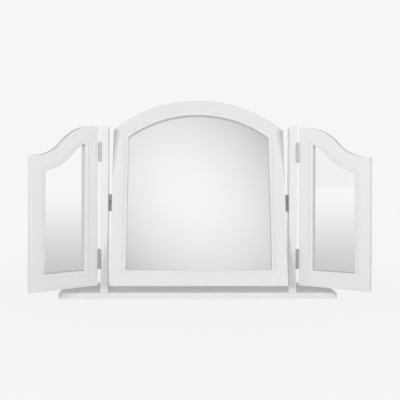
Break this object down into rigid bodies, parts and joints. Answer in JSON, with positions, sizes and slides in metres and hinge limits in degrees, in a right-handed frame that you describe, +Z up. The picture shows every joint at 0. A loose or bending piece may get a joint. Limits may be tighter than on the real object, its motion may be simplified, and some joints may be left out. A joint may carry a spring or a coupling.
{
  "type": "trifold vanity mirror",
  "caption": "Free-standing dressing-table mirror: an arched swing mirror between posts on a base board, with a folding swan-necked wing mirror on each side.",
  "frame": {"origin": "on the table top, under the middle of the base board and of its centre pad", "axes": "+Z up, -Y towards the person in front of the mirror, +X to that person's right along the base board's length"},
  "size_m": [0.8173, 0.2776, 0.5031],
  "materials": {
    "white_paint": "satin white paint on wood",
    "mirror_glass": "silvered float glass, polished",
    "back_panel": "white-faced hardboard, matt",
    "bare_wood": "bare beech",
    "hinge_steel": "nickel-plated, satin",
    "pivot_steel": "dull plated steel",
    "screw_steel": "zinc-plated",
    "point_steel": "bright steel tab",
    "washer_nylon": "matt",
    "felt": "pressed felt"
  },
  "bodies": {
    "stand": {"base_board": "white_paint", "base_pads": "felt", "hinge_pins": "hinge_steel", "hinge_post_screws": "screw_steel", "left_friction_washer": "washer_nylon", "left_lower_hinge_post_leaf": "hinge_steel", "left_pivot_post_plate": "pivot_steel", "left_post": "white_paint", "left_upper_hinge_post_leaf": "hinge_steel", "pivot_post_screws": "pivot_steel", "pivot_studs": "pivot_steel", "post_screws": "screw_steel", "right_friction_washer": "washer_nylon", "right_lower_hinge_post_leaf": "hinge_steel", "right_pivot_post_plate": "pivot_steel", "right_post": "white_paint", "right_upper_hinge_post_leaf": "hinge_steel"},
    "swing_mirror": {"left_pivot_stile_plate": "pivot_steel", "mirror_back_panel": "back_panel", "mirror_bottom_rail": "white_paint", "mirror_frame_dowels": "bare_wood", "mirror_glass": "mirror_glass", "mirror_glazing_points": "point_steel", "mirror_left_stile": "white_paint", "mirror_right_stile": "white_paint", "mirror_top_rail": "white_paint", "pivot_stile_screws": "pivot_steel", "right_pivot_stile_plate": "pivot_steel"},
    "left_wing": {"left_wing_back_panel": "back_panel", "left_wing_bottom_rail": "white_paint", "left_wing_dowels": "bare_wood", "left_wing_glass": "mirror_glass", "left_wing_glazing_points": "point_steel", "left_wing_hinge_screws": "screw_steel", "left_wing_hinge_stile": "white_paint", "left_wing_lower_hinge_leaf": "hinge_steel", "left_wing_outer_stile": "white_paint", "left_wing_swan_neck_rail": "white_paint", "left_wing_upper_hinge_leaf": "hinge_steel"},
    "right_wing": {"right_wing_back_panel": "back_panel", "right_wing_bottom_rail": "white_paint", "right_wing_dowels": "bare_wood", "right_wing_glass": "mirror_glass", "right_wing_glazing_points": "point_steel", "right_wing_hinge_screws": "screw_steel", "right_wing_hinge_stile": "white_paint", "right_wing_lower_hinge_leaf": "hinge_steel", "right_wing_outer_stile": "white_paint", "right_wing_swan_neck_rail": "white_paint", "right_wing_upper_hinge_leaf": "hinge_steel"}
  },
  "joints": [
    {"name": "mirror_tilt", "type": "hinge", "parent": "stand", "child": "swing_mirror", "pos_m": [0, -0.0665, 0.24], "axis": [-1, 0, 0], "range_deg": [-38.6, 11.4]},
    {"name": "left_wing_hinge", "type": "hinge", "parent": "stand", "child": "left_wing", "pos_m": [-0.24725, -0.0825, 0.2325], "axis": [0, 0, 1], "range_deg": [-43, 72]},
    {"name": "right_wing_hinge", "type": "hinge", "parent": "stand", "child": "right_wing", "pos_m": [0.24725, -0.0825, 0.2325], "axis": [0, 0, -1], "range_deg": [-37.2, 77.8]}
  ]
}
